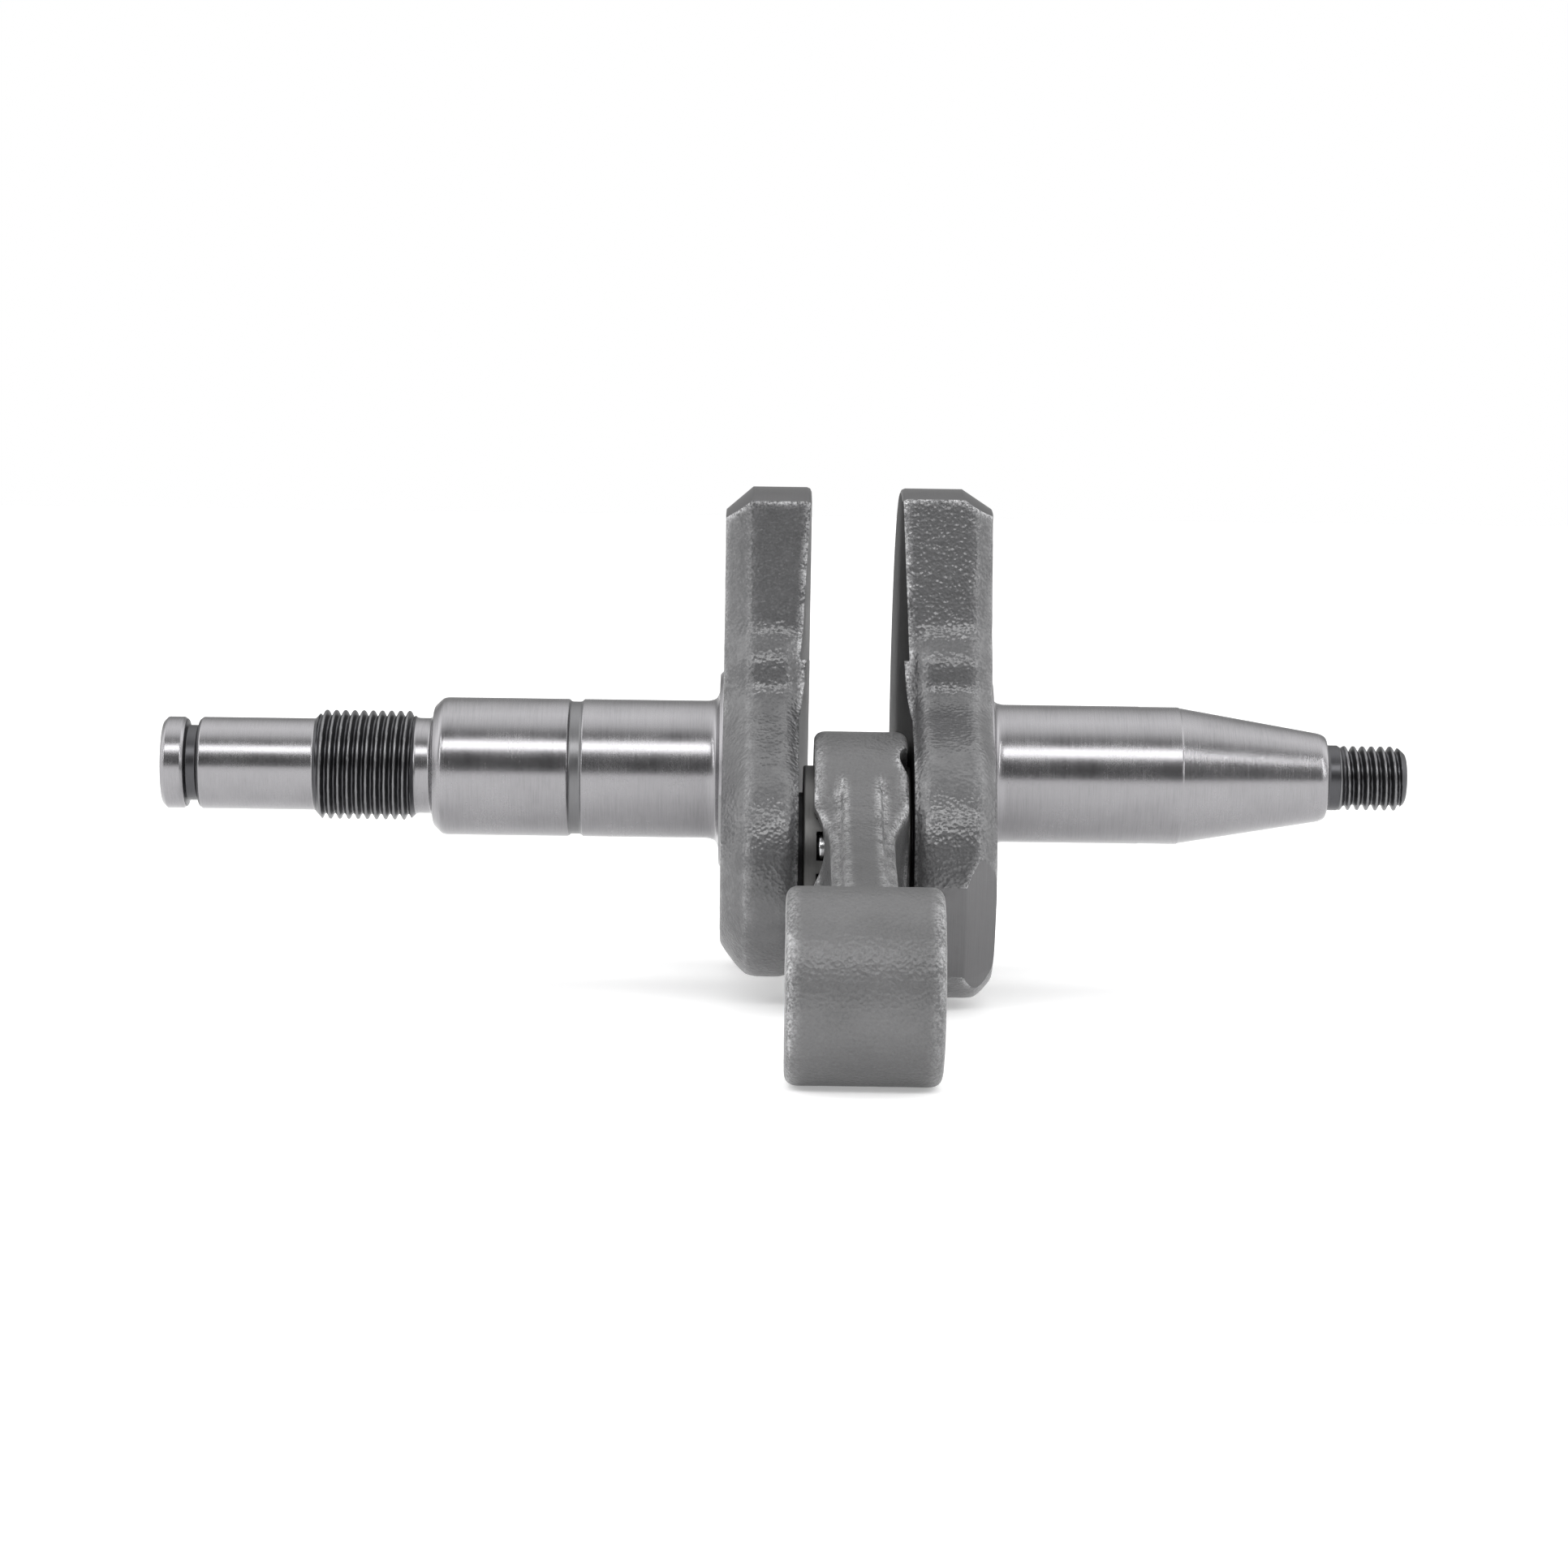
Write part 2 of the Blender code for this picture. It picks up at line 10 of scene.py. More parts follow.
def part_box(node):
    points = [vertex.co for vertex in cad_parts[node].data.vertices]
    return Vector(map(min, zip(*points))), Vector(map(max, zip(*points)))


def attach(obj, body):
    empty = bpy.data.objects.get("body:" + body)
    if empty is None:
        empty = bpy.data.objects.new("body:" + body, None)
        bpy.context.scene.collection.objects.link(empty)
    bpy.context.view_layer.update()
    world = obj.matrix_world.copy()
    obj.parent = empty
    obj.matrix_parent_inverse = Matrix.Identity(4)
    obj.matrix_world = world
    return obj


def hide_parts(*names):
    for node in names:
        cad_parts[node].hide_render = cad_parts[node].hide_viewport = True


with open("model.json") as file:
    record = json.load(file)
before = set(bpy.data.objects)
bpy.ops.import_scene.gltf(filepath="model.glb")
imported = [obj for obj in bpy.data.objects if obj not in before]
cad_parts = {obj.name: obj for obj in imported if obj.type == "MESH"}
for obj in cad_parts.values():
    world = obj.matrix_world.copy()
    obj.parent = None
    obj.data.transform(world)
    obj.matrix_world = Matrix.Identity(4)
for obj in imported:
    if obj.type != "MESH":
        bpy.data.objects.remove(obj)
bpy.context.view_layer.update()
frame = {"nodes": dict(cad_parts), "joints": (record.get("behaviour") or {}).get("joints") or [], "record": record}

MM = 0.001
TAU = math.tau

# ---------------------------------------------------------------- places, read from the frame
JOINTS = {joint["name"]: joint for joint in frame["joints"]}
PIN = Vector(JOINTS["rod_swing"]["pos_m"]) / MM
CRANK_ANGLE = math.atan2(PIN.z, PIN.y)
THROW = math.hypot(PIN.y, PIN.z)
EYE_BOX = next(o for o in frame["record"]["physics"]["openings"] if o["name"] == "small_end_eye")["box_m"]
EYE = (Vector(EYE_BOX[0]) + Vector(EYE_BOX[1])) / 2 / MM
ROD_ANGLE = math.atan2(EYE.z - PIN.z, EYE.y - PIN.y)
ROD_LENGTH = math.hypot(EYE.z - PIN.z, EYE.y - PIN.y)


def x_range(node):
    low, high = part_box(node)
    return low.x / MM, high.x / MM


SHAFT_LOW, CLUTCH_INNER = x_range("clutch_side_crank")
FLYWHEEL_INNER, SHAFT_HIGH = x_range("flywheel_side_crank")
PIN_LOW, PIN_HIGH = x_range("crank_pin")
CAGE_LOW, CAGE_HIGH = x_range("needle_cage")
FLOOR_Z = min(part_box(node)[0].z for node in frame["nodes"])

# ---------------------------------------------------------------- sizes in millimetres
WEB_RADIUS = 30.88
CLUTCH_OUTER = 60.9
CLUTCH_LOBE_FACE = 69.0
FLYWHEEL_OUTER = 89.6
FLYWHEEL_LOBE_FACE = 81.0
CLUTCH_LOBE = 12.55
FLYWHEEL_LOBE = 14.5
STEP_AT = 2.0
SHOULDER = ((6.99, 13.59, 5.0), (4.54, 17.38, 1.6), (1.49, 18.66, 1.6))
CLUTCH_RIM = (-6.0, 30.3)
FLYWHEEL_RIM = (-7.3, 30.0)
PITCH = 1.0
THREAD_DEPTH = 0.6
THREAD_STATION = 0.06
CLUTCH_THREAD_RADIUS = 5.95
FLYWHEEL_THREAD_RADIUS = 3.5
PIN_BORE = 7.1
BIG_END = 13.5
BIG_BORE = 10.0
BIG_HALF = 4.875
SMALL_END = 9.18
SMALL_BORE = 7.0
SMALL_HALF = 7.3
RIDGE = 1.9
ROLLERS = 14
ROLLER_RADIUS = 1.45
PIN_RADIUS = 6.98
CAGE_RADII = (7.95, 9.85)
WINDOW_HALF = (4.25, 1.53)
WEB_SIDES = 288
BORE_SIDES = 160
SIDES = 144


# ---------------------------------------------------------------- mesh helpers
def make(name, shape, materials, slot=None, matrix=None):
    """An object from a bmesh in millimetres, placed in the frame by matrix. Every solid that goes into
    one piece holds the same materials in the same order, so that a cut face keeps its cutter's slot."""
    bmesh.ops.recalc_face_normals(shape, faces=shape.faces)
    if slot is not None:
        for face in shape.faces:
            face.material_index = slot
    if matrix is not None:
        bmesh.ops.transform(shape, matrix=matrix, verts=shape.verts)
    bmesh.ops.scale(shape, vec=(MM, MM, MM), verts=shape.verts)
    mesh = bpy.data.meshes.new(name)
    shape.to_mesh(mesh)
    shape.free()
    for material in materials:
        mesh.materials.append(material)
    obj = bpy.data.objects.new(name, mesh)
    bpy.context.scene.collection.objects.link(obj)
    return obj


def apply_modifiers(obj):
    graph = bpy.context.evaluated_depsgraph_get()
    mesh = bpy.data.meshes.new_from_object(obj.evaluated_get(graph))
    obj.modifiers.clear()
    obj.data = mesh


def combine(obj, operation, *others):
    for other in others:
        modifier = obj.modifiers.new(operation, "BOOLEAN")
        modifier.operation = operation
        modifier.solver = "MANIFOLD"
        modifier.material_mode = "INDEX"
        modifier.object = other
        apply_modifiers(obj)
        bpy.data.objects.remove(other)


def ring_grid(shape, rings, closed):
    """Faces between rings of vertices, capped at both ends or closed on themselves."""
    after = rings[1:] + rings[:1] if closed else rings[1:]
    for low, high in zip(rings, after):
        count = len(low)
        for i in range(count):
            j = (i + 1) % count
            shape.faces.new((low[i], low[j], high[j], high[i]))
    if not closed:
        shape.faces.new(rings[0])
        shape.faces.new(rings[-1])


def turned(profile, sides=SIDES, closed=False, radius_at=None, slot_at=None):
    """A solid of revolution about X. radius_at may change a point's radius round the turn,
    and slot_at gives a face's material slot from its place along X and its radius."""
    shape = bmesh.new()
    rings = []
    for x, radius in profile:
        ring = []
        for i in range(sides):
            angle = TAU * i / sides
            r = radius_at(x, angle, radius) if radius_at else radius
            ring.append(shape.verts.new((x, r * math.cos(angle), r * math.sin(angle))))
        rings.append(ring)
    ring_grid(shape, rings, closed)
    if slot_at:
        for face in shape.faces:
            middle = face.calc_center_median()
            face.material_index = slot_at(middle.x, math.hypot(middle.y, middle.z))
    return shape


def lofted(sections):
    shape = bmesh.new()
    ring_grid(shape, [[shape.verts.new(p) for p in section] for section in sections], False)
    return shape


def block(low, high):
    shape = bmesh.new()
    bmesh.ops.create_cube(shape, size=1.0)
    bmesh.ops.scale(shape, vec=[b - a for a, b in zip(low, high)], verts=shape.verts)
    bmesh.ops.translate(shape, vec=[(a + b) / 2 for a, b in zip(low, high)], verts=shape.verts)
    return shape


def rounded(points, steps=5):
    """A profile whose corners are rounded: each point is (x, radius, rounding)."""
    out = []
    for i, (x, radius, rounding) in enumerate(points):
        corner = Vector((x, radius))
        if not rounding or i in (0, len(points) - 1):
            out.append((x, radius))
            continue
        before = Vector(points[i - 1][:2]) - corner
        after = Vector(points[i + 1][:2]) - corner
        reach_in = min(rounding, 0.45 * before.length)
        reach_out = min(rounding, 0.45 * after.length)
        start = corner + before.normalized() * reach_in
        end = corner + after.normalized() * reach_out
        for k in range(steps + 1):
            t = k / steps
            p = start * (1 - t) ** 2 + corner * 2 * t * (1 - t) + end * t * t
            out.append((p.x, p.y))
    return out


def refined(profile, span, step):
    """Extra stations along X inside the span where a thread is cut."""
    out = [profile[0]]
    for (x0, r0), (x1, r1) in zip(profile, profile[1:]):
        inside = span[0] < (x0 + x1) / 2 < span[1]
        count = max(1, round(abs(x1 - x0) / step)) if inside else 1
        for k in range(1, count + 1):
            t = k / count
            out.append((x0 + (x1 - x0) * t, r0 + (r1 - r0) * t))
    return out


def thread(start, end, crest, depth, hand, runout=0.0):
    """The radius of a 60 degree thread with a flat crest and a rounded root. It rises to full depth over
    the runout at its start, and hand is 1 for a right-hand thread and -1 for a left-hand one."""

    def radius_at(x, angle, radius):
        if not start < x < end:
            return radius
        phase = ((x - start) / PITCH - hand * angle / TAU) % 1.0
        v = abs(phase - 0.5) * 2
        height = min(1.0, max(0.0, (v - 0.14) / 0.72))
        height = height - 0.06 * math.sin(TAU * height)
        fade = min(1.0, (x - start) / runout) if runout else 1.0
        return min(radius, crest - depth * height * fade)

    return radius_at


def smoothstep(low, high, x):
    t = min(1.0, max(0.0, (x - low) / (high - low)))
    return t * t * (3 - 2 * t)


def shade(obj, angle=32):
    obj.data.shade_smooth()
    obj.data.set_sharp_from_angle(angle=math.radians(angle))


def forge(obj, voxel, rounds, grain, seed):
    """Fuses the overlapping solids into one skin, rounds its edges and roughens it as a forging's."""
    remesh = obj.modifiers.new("skin", "REMESH")
    remesh.mode = "VOXEL"
    remesh.voxel_size = voxel * MM
    smooth = obj.modifiers.new("round edges", "SMOOTH")
    smooth.factor = 0.5
    smooth.iterations = rounds
    apply_modifiers(obj)
    mesh = obj.data
    offset = Vector((seed * 7.3, seed * 3.1, seed * 5.7))
    count = len(mesh.vertices)
    places = np.empty(count * 3)
    normals = np.empty(count * 3)
    mesh.vertices.foreach_get("co", places)
    mesh.vertex_normals.foreach_get("vector", normals)
    places = places.reshape(-1, 3)
    normals = normals.reshape(-1, 3)
    swell = np.empty(count)
    for i, place in enumerate(places / MM):
        p = Vector(place) + offset
        swell[i] = 0.6 * noise.noise(p * 0.35) + 0.4 * noise.noise(p * 1.1)
    places += normals * (swell * grain * MM)[:, None]
    mesh.vertices.foreach_set("co", places.ravel())
    mesh.update()


# ---------------------------------------------------------------- materials
class Nodes:
    """The node tree of a material or a world, with short calls that add and link nodes."""

    def __init__(self, owner):
        owner.use_nodes = True
        self.owner = owner
        self.tree = owner.node_tree

    def add(self, kind, **sockets):
        node = self.tree.nodes.new(kind)
        for key, value in sockets.items():
            self.set(node, key, value)
        return node

    def set(self, node, key, value):
        socket = node.inputs[int(key[1:])] if key[0] == "_" else node.inputs[key]
        if isinstance(value, bpy.types.NodeSocket):
            self.tree.links.new(value, socket)
        else:
            socket.default_value = value

    def math(self, operation, a, b=0.0, c=0.0):
        node = self.add("ShaderNodeMath", _0=a, _1=b, _2=c)
        node.operation = operation
        return node.outputs[0]

    def ramp(self, value, *stops):
        node = self.add("ShaderNodeValToRGB", Fac=value)
        elements = node.color_ramp.elements
        while len(elements) < len(stops):
            elements.new(0.5)
        for element, (place, colour) in zip(elements, stops):
            element.position = place
            element.color = (*colour, 1.0) if isinstance(colour, tuple) else (colour, colour, colour, 1.0)
        return node.outputs["Color"]

    def noise(self, vector, scale, detail=4.0, roughness=0.55):
        node = self.add("ShaderNodeTexNoise", Vector=vector, Scale=scale, Detail=detail, Roughness=roughness)
        return node.outputs["Fac"]

    def bump(self, height, strength, distance, normal=None):
        node = self.add("ShaderNodeBump", Height=height, Strength=strength, Distance=distance)
        if normal is not None:
            self.set(node, "Normal", normal)
        return node.outputs["Normal"]

    def steel(self, colour, roughness, normal, metallic=1.0):
        shader = self.tree.nodes["Principled BSDF"]
        shader.inputs["Metallic"].default_value = metallic
        self.set(shader, "Base Color", colour)
        self.set(shader, "Roughness", roughness)
        self.set(shader, "Normal", normal)
        return self.owner

    def place(self):
        """The point on the object, in millimetres."""
        coordinates = self.add("ShaderNodeTexCoord").outputs["Object"]
        node = self.add("ShaderNodeVectorMath", _0=coordinates)
        node.operation = "SCALE"
        node.inputs["Scale"].default_value = 1 / MM
        return node.outputs["Vector"]

    def blend(self, share, first, second):
        node = self.add("ShaderNodeMix")
        node.data_type = "RGBA"
        self.set(node, "Factor", share)
        self.tree.links.new(first, node.inputs[6])
        node.inputs[7].default_value = (*second, 1.0)
        return node.outputs[2]

    def edge_glint_and_wear(self, radius, breakup):
        """1 along edges, where the skin is painted bright as a highlight and as rubbed wear, and 0 on the open
        skin, broken up by a noise.
        """
        smooth = self.add("ShaderNodeBevel", Radius=radius).outputs["Normal"]
        true = self.add("ShaderNodeNewGeometry").outputs["Normal"]
        node = self.add("ShaderNodeVectorMath", _0=smooth, _1=true)
        node.operation = "DOT_PRODUCT"
        turn = self.math("SUBTRACT", 1.0, node.outputs["Value"])
        edge = self.ramp(turn, (0.004, 0.0), (0.06, 1.0))
        spots = self.ramp(breakup, (0.42, 0.0), (0.62, 1.0))
        return self.math("MULTIPLY", edge, spots)

    def lathe_lines(self, place, axis_y=0.0, axis_z=0.0):
        """Fine tool marks: they run round the axis on a turned surface, and in circles on a faced one."""
        split = self.add("ShaderNodeSeparateXYZ", Vector=place)
        y = self.math("SUBTRACT", split.outputs["Y"], axis_y)
        z = self.math("SUBTRACT", split.outputs["Z"], axis_z)
        squares = self.math("ADD", self.math("MULTIPLY", y, y), self.math("MULTIPLY", z, z))
        radius = self.math("SQRT", squares)
        along = self.add("ShaderNodeCombineXYZ", X=split.outputs["X"], Y=radius)
        angle = self.math("MULTIPLY", self.math("ARCTAN2", z, y), 0.25)
        self.set(along, "Z", angle)
        return along.outputs["Vector"]


def turned_steel(name, tone, roughness, lines, axis=(0.0, 0.0), edge=None):
    """Steel cut on a lathe: tool marks as deep as lines says, round an axis at (y, z), with patches where it
    is duller. edge is the radius over which its corners look rounded."""
    n = Nodes(bpy.data.materials.new(name))
    place = n.place()
    along = n.lathe_lines(place, *axis)
    fine = n.noise(along, 9.0, 3.0, 0.7)
    coarse = n.noise(along, 1.3, 2.0)
    blotch = n.noise(place, 0.18, 4.0, 0.6)
    speck = n.noise(place, 2.6, 5.0, 0.7)
    colour = n.ramp(
        n.math("ADD", n.math("MULTIPLY", fine, 0.55), n.math("MULTIPLY", blotch, 0.45)),
        (0.25, tuple(c * 0.78 for c in tone)),
        (0.5, tone),
        (0.8, tuple(min(1.0, c * 1.14) for c in tone)),
    )
    spread = n.math("ADD", n.math("MULTIPLY", blotch, 0.16), n.math("MULTIPLY", speck, 0.10))
    rough = n.math("ADD", n.math("ADD", spread, n.math("MULTIPLY", fine, 0.10)), roughness - 0.18)
    worn_edge = n.add("ShaderNodeBevel", Radius=edge).outputs["Normal"] if edge else None
    normal = n.bump(fine, lines, 0.00002, worn_edge)
    normal = n.bump(coarse, 0.35 * lines, 0.00003, normal)
    return n.steel(colour, rough, normal)


def forged_steel(name, tone, roughness, metallic, oil, seed):
    """Shot-blasted forging skin: fine dimples, scale patches, a thin film of oil whose gloss varies, and
    edges painted bright, partly as rubbed wear and partly as a painted highlight."""
    n = Nodes(bpy.data.materials.new(name))
    place = n.place()
    shifted = n.add("ShaderNodeVectorMath", _0=place, _1=(seed * 11.0, seed * 5.0, seed * 3.0))
    shifted.operation = "ADD"
    at = shifted.outputs["Vector"]
    grit = n.noise(at, 4.0, 3.0, 0.6)
    dimple = n.add("ShaderNodeTexVoronoi", Vector=at, Scale=2.3)
    dimple.feature = "SMOOTH_F1"
    dimple.inputs["Smoothness"].default_value = 0.35
    patch = n.noise(at, 0.16, 5.0, 0.6)
    stain = n.noise(at, 0.55, 4.0, 0.65)
    wave = n.noise(at, 0.9, 2.0, 0.5)
    mix = n.math("ADD", n.math("MULTIPLY", grit, 0.5), n.math("MULTIPLY", patch, 0.5))
    colour = n.ramp(
        mix,
        (0.30, tuple(c * 0.74 for c in tone)),
        (0.48, tuple(c * 0.95 for c in tone)),
        (0.56, tone),
        (0.74, tuple(min(1.0, c * 1.22) for c in tone)),
    )
    rough = n.math("ADD", n.math("MULTIPLY", stain, 0.22), roughness - 0.11)
    worn_edge = n.add("ShaderNodeBevel", Radius=0.0005).outputs["Normal"]
    wavy = n.bump(wave, 0.8, 0.00008, worn_edge)
    normal = n.bump(dimple.outputs["Distance"], 1.0, 0.00006, wavy)
    normal = n.bump(grit, 0.8, 0.00008, normal)
    glint = n.bump(dimple.outputs["Distance"], 1.0, 0.00007, wavy)
    glint_and_wear = n.edge_glint_and_wear(0.0014, n.math("ADD", n.math("MULTIPLY", grit, 0.6), n.math("MULTIPLY", stain, 0.4)))
    # painted highlight and wear: the colour along edges goes to a light grey, whatever the light
    colour = n.blend(glint_and_wear, colour, (0.72, 0.72, 0.73))
    rough = n.math("SUBTRACT", rough, n.math("MULTIPLY", glint_and_wear, 0.16))
    shader = n.tree.nodes["Principled BSDF"]
    n.set(shader, "Coat Weight", n.ramp(stain, (0.30, 0.35 * oil), (0.70, oil)))
    n.set(shader, "Coat Roughness", 0.16)
    n.set(shader, "Coat IOR", 1.8)
    n.set(shader, "Coat Normal", glint)
    return n.steel(colour, rough, normal, metallic)


SHAFT_STEEL = turned_steel("ground_journal", (0.295, 0.29, 0.30), 0.25, 0.35)
# painted shade: near-black steel for the thread's valleys and the ring and relief grooves, where shade falls
THREAD_STEEL = turned_steel("painted_groove_shade", (0.085, 0.085, 0.09), 0.34, 0.6)
# a shade darker than the journal: the thread's crests, and painted shade on the floor of the journal's shallow
# groove
CREST_STEEL = turned_steel("thread_crest", (0.19, 0.19, 0.195), 0.36, 0.5)
RIM_STEEL = turned_steel("turned_rim", (0.155, 0.154, 0.157), 0.42, 0.7, edge=0.0004)
FACED_STEEL = turned_steel("turned_web", (0.30, 0.30, 0.305), 0.36, 0.7)
FORGED_WEB = forged_steel("forged_web", (0.106, 0.106, 0.109), 0.44, 0.62, 0.7, 1)
FORGED_ROD = forged_steel("forged_rod", (0.142, 0.142, 0.144), 0.44, 0.58, 0.12, 2)
BORED_ROD = turned_steel("honed_bore", (0.32, 0.32, 0.325), 0.28, 0.5, (PIN.y, PIN.z))
PIN_STEEL = turned_steel("ground_pin", (0.40, 0.40, 0.405), 0.24, 0.4, (PIN.y, PIN.z))
# painted shade: the pin between the webs is made near black, as it lies in the shade of the narrow gaps
PIN_SHADE_TRACK = turned_steel("painted_shade_track", (0.05, 0.05, 0.052), 0.5, 0.4, (PIN.y, PIN.z))
# painted shade: a near-black copy of the turned web face, for the flywheel web's inner faces in the shade between
# the webs
SHADED_FACE = turned_steel("painted_shade_face", (0.035, 0.035, 0.036), 0.62, 0.7)
CAGE_STEEL = turned_steel("cage", (0.125, 0.124, 0.122), 0.42, 0.6, (PIN.y, PIN.z))
ROLLER_STEEL = turned_steel("roller", (0.50, 0.50, 0.51), 0.22, 0.2)

CRANK_STEELS = (SHAFT_STEEL, THREAD_STEEL, CREST_STEEL, FORGED_WEB, RIM_STEEL, FACED_STEEL, SHADED_FACE)
SHAFT, GROOVE_SHADE, CREST, FORGED, RIM, FACED, FACE_SHADE = range(7)
ROD_STEELS = (FORGED_ROD, BORED_ROD)
SKIN, BORED = range(2)

CRANK_AXES = Matrix.Rotation(CRANK_ANGLE, 4, "X")
ROD_MIDDLE = PIN.x
ROD_AXES = Matrix.Translation((ROD_MIDDLE, PIN.y, PIN.z)) @ Matrix.Rotation(ROD_ANGLE, 4, "X")


# ---------------------------------------------------------------- crank halves
def on_circle(angle, radius, centre=(0.0, 0.0)):
    return (centre[0] + radius * math.cos(angle), centre[1] + radius * math.sin(angle))


def tangent_angle(point, centre, radius):
    away = Vector(point) - Vector(centre)
    return math.atan2(away.y, away.x) - math.acos(radius / away.length)


def web_outline(lobe_radius, rim):
    """The web across the shaft, as (towards the pin, across). Its rim lies outside the turned radius."""
    centre = (THROW, 0.0)
    touch = tangent_angle(SHOULDER[0][:2], centre, lobe_radius)
    lobe = [on_circle(touch * i / 30, lobe_radius, centre) for i in range(31)]
    out = (Vector(rim) - Vector(SHOULDER[-1][:2])).normalized()
    beyond = Vector(rim) + out * 6.0
    flank = rounded([(*lobe[-1], 0), *SHOULDER, (*beyond, 0)], 6)
    half = lobe + flank[1:] + [(-WEB_RADIUS * 1.2, WEB_RADIUS * 1.15)]
    return half + [(y, -z) for y, z in reversed(half[1:])]


def inset(outline, depth_at):
    """The outline moved inwards by a depth that varies along it."""
    moved = []
    for i, point in enumerate(outline):
        before = (Vector(point) - Vector(outline[i - 1])).normalized()
        after = (Vector(outline[(i + 1) % len(outline)]) - Vector(point)).normalized()
        normal = (before + after).normalized()
        depth = depth_at(Vector(point))
        moved.append((point[0] - normal.y * depth, point[1] + normal.x * depth))
    return moved


def web(
    name, outer, inner, lobe_face, lobe_radius, rim, bevels, lobe_draft, rim_chamfer, face_slot, seed
):
    """A forged web, cut by the lathe at its rim, its rim chamfer and its inner face. bevels are the
    rounding of the outer edge at the shoulders and at the lobe, and rim_chamfer is (axial, radial)."""
    side = 1.0 if inner > outer else -1.0
    outline = web_outline(lobe_radius, rim)
    shoulder_bevel, lobe_bevel = bevels

    def bevel_at(point):
        along = min(1.0, max(0.0, (point.x - 6.0) / 10.0))
        return shoulder_bevel + (lobe_bevel - shoulder_bevel) * along

    def draft_at(point):
        return lobe_draft * smoothstep(0.5, 4.5, point.x)

    levels = []
    for t, share in ((0.0, 1.0), (0.25, 0.72), (0.6, 0.36), (1.0, 0.06), (1.35, 0.0)):
        level = inset(outline, lambda p: bevel_at(p) * share)
        levels.append([(outer + side * max(0.02, t * shoulder_bevel), y, z) for y, z in level])
    for short, share in ((1.9, 0.0), (1.3, 0.10), (0.7, 0.40), (0.0, 1.0)):
        level = inset(outline, lambda p: draft_at(p) * share)
        levels.append([(lobe_face - side * short, y, z) for y, z in level])
    last = inset(outline, lambda p: draft_at(p) * 1.5)
    levels.append([(inner + side * 1.2, y, z) for y, z in last])
    body = make(name, lofted(levels), CRANK_STEELS, FORGED, CRANK_AXES)
    forge(body, 0.30, 5, 0.04, seed)
    for face in body.data.polygons:
        face.material_index = FORGED
    axial, radial = rim_chamfer
    slope = radial / axial
    blank = turned(
        [
            (outer - side * 3, WEB_RADIUS - radial - 3 * slope),
            (outer + side * axial, WEB_RADIUS),
            (inner - side * 0.5, WEB_RADIUS),
            (inner - side * 0.15, WEB_RADIUS - 0.15),
            (inner, WEB_RADIUS - 0.5),
        ],
        WEB_SIDES,
        slot_at=lambda x, radius: RIM if radius > 5.0 else face_slot,
    )
    combine(body, "INTERSECT", make("blank", blank, CRANK_STEELS))
    combine(body, "DIFFERENCE", lobe_recess(lobe_face, inner, side, face_slot))
    for across in (-1, 1):
        combine(body, "DIFFERENCE", edge_wedge(inner, side, across, rim, face_slot))
    return body


def lobe_recess(lobe_face, inner, side, slot):
    """What the lathe leaves off the web's inner face on the pin's side, up to a slanted step."""
    deep, far = lobe_face, inner + side * 4
    corners = [
        (deep, STEP_AT + 7.5),
        (inner, STEP_AT - 1.5),
        (far, STEP_AT - 4.0),
        (far, 2 * WEB_RADIUS),
        (deep, 2 * WEB_RADIUS),
    ]
    shape = lofted([[(x, y, z) for x, y in corners] for z in (-2 * WEB_RADIUS, 2 * WEB_RADIUS)])
    return make("recess", shape, CRANK_STEELS, slot, CRANK_AXES)


def edge_wedge(inner, side, across, rim, slot):
    """A shallow bevel along the counterweight's front edge: nothing at the rim, full width at the lobe."""
    corner, rim = Vector(SHOULDER[-1][:2]), Vector(rim)
    along = (rim - corner).normalized()
    normal = Vector((along.y, -along.x))
    sections = []
    for place, width in ((corner - along * 3.0, 0.95), (rim + along * 2.0, 0.02)):
        low = place - normal * 8.0 * width
        high = place + normal * 2.0
        drop = width * (1 + 2.0 / (8.0 * width))
        beyond = inner + side * 2.0
        wedge = [(inner, low), (beyond, low), (beyond, high), (inner - side * drop, high)]
        sections.append([(x, p.x, across * p.y) for x, p in wedge])
    return make("wedge", lofted(sections), CRANK_STEELS, slot, CRANK_AXES)


def pin_bore():
    low, high = CLUTCH_OUTER, FLYWHEEL_OUTER
    lip, beyond = 0.35, 0.5
    profile = [
        (low - beyond, PIN_BORE + lip + beyond),
        (low + lip, PIN_BORE),
        (high - lip, PIN_BORE),
        (high + beyond, PIN_BORE + lip + beyond),
    ]
    shape = turned(profile, 128)
    bmesh.ops.translate(shape, vec=(0.0, THROW, 0.0), verts=shape.verts)
    return make("pin_bore", shape, CRANK_STEELS, FACED, CRANK_AXES)


def centre_drilling(end, direction, radius):
    """The 60 degree centre that the shaft was turned between."""
    depth = radius * math.sqrt(3)
    profile = [
        (end - direction * 1.0, radius + 1.0 / math.sqrt(3)),
        (end + direction * depth * 0.62, radius * 0.38),
        (end + direction * (depth * 0.62 + 1.4), radius * 0.36),
        (end + direction * (depth * 0.62 + 1.7), 0.05),
    ]
    return make("centre", turned(profile, 48), CRANK_STEELS, SHAFT)


